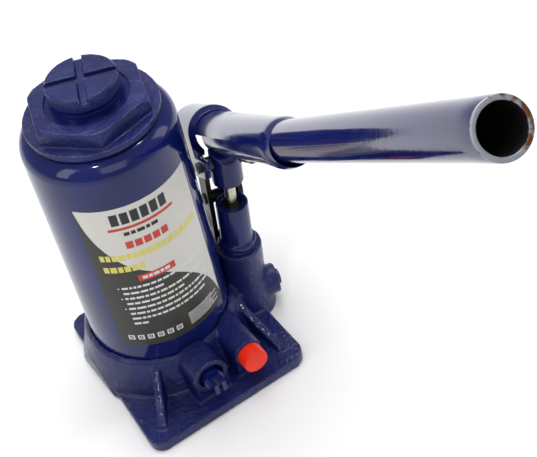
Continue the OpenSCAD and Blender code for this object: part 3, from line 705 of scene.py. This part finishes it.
def make_handle(m):
    """A tube whose long sides are divided along its length."""
    inner, outer, start, end = HANDLE_BORE, HANDLE_R, HANDLE_START, HANDLE_END
    outline = fillet([(inner, start), (outer, start), (outer, end), (inner, end)], [0.3, 0.4, 0.55, 0.45])
    long = []
    for (r0, z0), (r1, z1) in zip(outline, outline[1:] + outline[:1]):
        steps = max(1, int(abs(z1 - z0) / 12))
        long += [(r0 + (r1 - r0) * k / steps, z0 + (z1 - z0) * k / steps) for k in range(steps)]
    piece(revolve("handle_pipe", long, m["handle"], ALONG, 160), "handle", "blue_paint", "handle_tube")


def make_cap(m):
    low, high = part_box("safety_cap")
    centre = (low + high) / 2
    place = Matrix.Translation((centre.x, 0, centre.z)) @ Matrix.Rotation(math.radians(90), 4, "X")
    r = (high.x - low.x) / 2 / MM
    h = 9.5
    face = -low.y / MM - h
    outline = fillet(
        [(0, face - 5), (4.4, face - 5), (4.4, face), (r, face), (r, face + h - 0.25),
         (r * 0.5, face + h - 0.05), (0, face + h)],
        [0, 0.4, 0.1, 0.4, 1.3, 1.5, 0],
    )
    piece(revolve("vent_cap", outline, m["red"], place, 96), "base", "red_plastic", "safety_cap")


# ---------- label print ----------
LABEL_R = 45.15
LABEL_MID = math.radians(-82)
SWEEP_LIFT, INK_LIFT, TAG_LIFT = 0.02, 0.05, 0.08


def on_label(u, v, lift):
    """A point u mm round the tank from the label's datum and v mm up."""
    a = LABEL_MID + u / LABEL_R
    r = (LABEL_R + lift) * MM
    return Vector((r * math.cos(a), r * math.sin(a), v * MM))


def patch(spans, lift):
    """Corners and faces of a thin printed area. spans is a list of (u, low v, high v), joined in order."""
    verts, faces = [], []
    for u, low, high in spans:
        verts += [on_label(u, low, lift), on_label(u, high, lift)]
    for k in range(len(spans) - 1):
        faces.append((2 * k, 2 * k + 2, 2 * k + 3, 2 * k + 1))
    return verts, faces


def bars(name, boxes, material, lift=INK_LIFT):
    """Several printed bars as one piece. A box is (u0, u1, v0, v1)."""
    verts, faces = [], []
    for u0, u1, v0, v1 in boxes:
        steps = max(1, int((u1 - u0) / 1.5))
        more, quads = patch([(u0 + (u1 - u0) * k / steps, v0, v1) for k in range(steps + 1)], lift)
        faces += [tuple(i + len(verts) for i in q) for q in quads]
        verts += more
    obj = add_object(name, verts, faces, material, sharp=180)
    outward(obj)
    piece(obj, "base", "label_film")


def outward(obj):
    """Turns every face away from the ram's axis."""
    bm = bmesh.new()
    bm.from_mesh(obj.data)
    for face in bm.faces:
        centre = face.calc_center_median()
        if face.normal.dot(Vector((centre.x, centre.y, 0))) < 0:
            face.normal_flip()
    bm.to_mesh(obj.data)
    bm.free()


def words(u0, u1, v0, v1, low=2.0, high=6.0, gap=0.9):
    """A line of text as blocks of uneven length."""
    out = []
    u = u0
    while u < u1 - low:
        end = min(u1, u + rng.uniform(low, high))
        out.append((u, end, v0, v1))
        u = end + gap
    return out


def smooth_between(points, u):
    """Height of a smooth curve through (u, v) points."""
    for i, ((u0, v0), (u1, v1)) in enumerate(zip(points, points[1:])):
        if u0 <= u <= u1:
            f = (u - u0) / (u1 - u0)
            before = points[max(0, i - 1)]
            after = points[min(len(points) - 1, i + 2)]
            s0 = (v1 - before[1]) / (u1 - before[0]) * (u1 - u0)
            s1 = (after[1] - v0) / (after[0] - u0) * (u1 - u0)
            start = (2 * f**3 - 3 * f**2 + 1) * v0 + (f**3 - 2 * f**2 + f) * s0
            return start + (3 * f**2 - 2 * f**3) * v1 + (f**3 - f**2) * s1
    return points[-1][1]


def make_label(m):
    low, high = (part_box("label")[k].z / MM for k in (0, 1))
    left, right = -49.0, 25.7
    sweep = [
        (left, high - 1), (-46, 144), (-40, 130), (-28, 114.5), (-8, 100),
        (5, 89), (15, 77), (21, 66), (right, 52),
    ]
    steps = 80
    spans = []
    for k in range(steps + 1):
        u = left + (right - left) * k / steps
        spans.append((u, low + 0.05, min(high - 0.2, smooth_between(sweep, u))))
    verts, faces = patch(spans, SWEEP_LIFT)
    obj = add_object("label_sweep", verts, faces, m["ink_dark"], sharp=180)
    outward(obj)
    piece(obj, "base", "label_film")
    title = [(-29.6 + k * 5.9, -29.6 + k * 5.9 + 4.6, 146.9, 155.4) for k in range(6)]
    bars("label_title", title, m["ink_black"])
    bars("label_small_black", words(-24.5, -1.2, 138.2, 140.8, 2, 6), m["ink_black"])
    underline = [(-32.4, 7.9, 142.9, 144.9)]
    rating = [(-25.4 + k * 5.4, -25.4 + k * 5.4 + 4.3, 128.2, 133.6) for k in range(5)]
    bars("label_red", underline + rating + [(-25, -2, 100.7, 105.8)], m["ink_red"])
    bars("label_tag_text", words(-22.5, -4.5, 102.1, 104.4, 2, 5, 0.7), m["ink_white"], TAG_LIFT)
    yellow = words(-43, 22, 119.8, 124.4, 2.6, 4.2, 0.8) + words(-43, -17.8, 110.3, 114.9, 2.6, 4.2, 0.8)
    bars("label_yellow", yellow, m["ink_yellow"])
    lines = []
    for k, end in enumerate((20, -10.6, 15.4, -0.6, 19, 17, 14, -28)):
        top = 97.6 - 4.42 * k
        lines += words(-36.5, end, top - 1.7, top, 1.4, 5.5, 0.8)
        if k in (0, 2, 4):
            lines.append((-39, -38, top - 1.4, top - 0.5))
    for k in range(6):
        lines += words(-3.8, 21.6 if k % 2 else 17, 59.6 - 1.75 * k - 0.9, 59.6 - 1.75 * k, 1.2, 4, 0.5)
    for k in range(6):
        u = -43.4 + 6.0 * k
        lines += [(u, u + 4, 54.2, 55), (u, u + 4, 51, 51.8)]
        lines += [(u, u + 0.9, 51.8, 54.2), (u + 3.1, u + 4, 51.8, 54.2), (u + 1.5, u + 2.5, 52.5, 53.5)]
    bars("label_white", lines, m["ink_white"])


add_camera()
add_studio()
materials = make_materials()
finish_cad_nodes(materials)
for build in (
    make_base, make_tank, make_nut, make_screw, make_pump, make_plunger, make_lever, make_handle, make_cap,
    make_label,
):
    build(materials)
